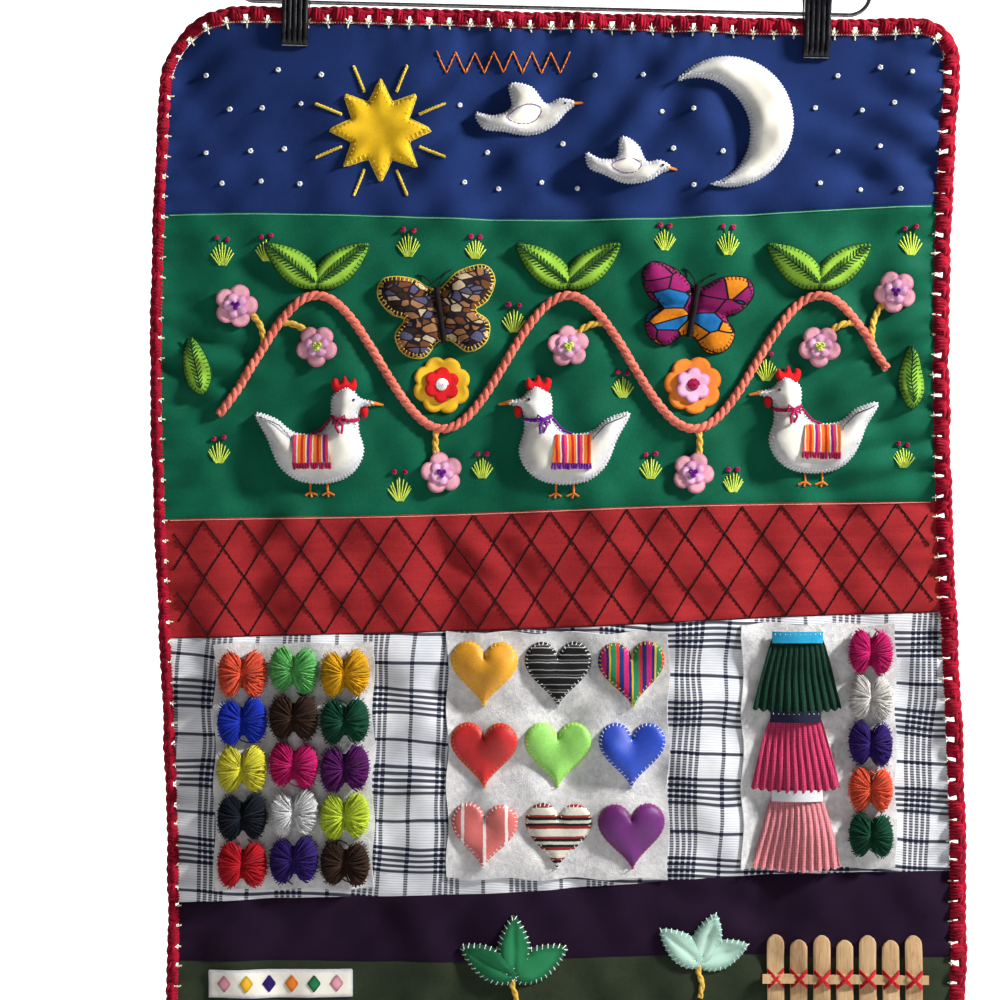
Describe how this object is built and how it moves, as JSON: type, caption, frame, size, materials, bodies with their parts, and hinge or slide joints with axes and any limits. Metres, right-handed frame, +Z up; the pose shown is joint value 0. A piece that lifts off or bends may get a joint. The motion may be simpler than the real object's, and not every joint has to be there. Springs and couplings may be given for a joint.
{
  "type": "arpillera textile and clip hanger",
  "caption": "Wall textile of sewn cloth bands with padded felt, cord and yarn motifs and a crochet edge, held in the two clips of a wire hanger.",
  "frame": {"origin": "the place at the top of the inside of the hanger's hook that bears on a rail", "axes": "+Z up, +X to the right as the textile is looked at, the cloth faces -Y"},
  "size_m": [0.4652, 0.0259, 0.7066],
  "materials": {
    "blue": "matt",
    "green": "matt",
    "red": "matt",
    "check": "matt",
    "plum": "matt",
    "olive": "matt",
    "crimson": "yarn",
    "white": "felt",
    "yellow": "cotton",
    "coral": "cord",
    "pink": "felt",
    "lime": "felt",
    "leaf": "felt",
    "mint": "felt",
    "print": "printed cotton",
    "orange": "cotton",
    "yarn": "wound yarn",
    "wood": "unfinished",
    "plastic": "gloss",
    "steel": "bright"
  },
  "bodies": {
    "root": {"butterfly_left": "print", "butterfly_right": "print", "clip_left_back": "plastic", "clip_left_front": "plastic", "clip_right_back": "plastic", "clip_right_front": "plastic", "crochet_edge": "crimson", "dove_left": "white", "dove_right": "white", "fan_1": "pink", "fan_2": "pink", "fan_3": "pink", "felt_left": "white", "felt_middle": "white", "felt_right": "white", "flower_1": "pink", "flower_2": "pink", "flower_3": "pink", "flower_4": "pink", "flower_5": "pink", "flower_6": "pink", "flower_7": "pink", "hanger_hook": "steel", "hanger_loop": "steel", "heart_1": "orange", "heart_2": "orange", "heart_3": "orange", "heart_4": "orange", "heart_5": "orange", "heart_6": "orange", "heart_7": "orange", "heart_8": "orange", "heart_9": "orange", "hen_left": "white", "hen_middle": "white", "hen_right": "white", "leaf_1": "lime", "leaf_2": "lime", "leaf_3": "lime", "leaf_4": "lime", "leaf_5": "lime", "leaf_sprig_left": "leaf", "leaf_sprig_right": "mint", "moon": "white", "panel_check": "check", "panel_field": "green", "panel_grass": "olive", "panel_ground": "plum", "panel_lattice": "red", "panel_sky": "blue", "patterned_strip": "white", "star": "yellow", "stick_raft": "wood", "tall_flower_left": "orange", "tall_flower_right": "orange", "vine": "coral", "yarn_column_1": "yarn", "yarn_column_2": "yarn", "yarn_column_3": "yarn", "yarn_column_4": "yarn"}
  },
  "joints": []
}
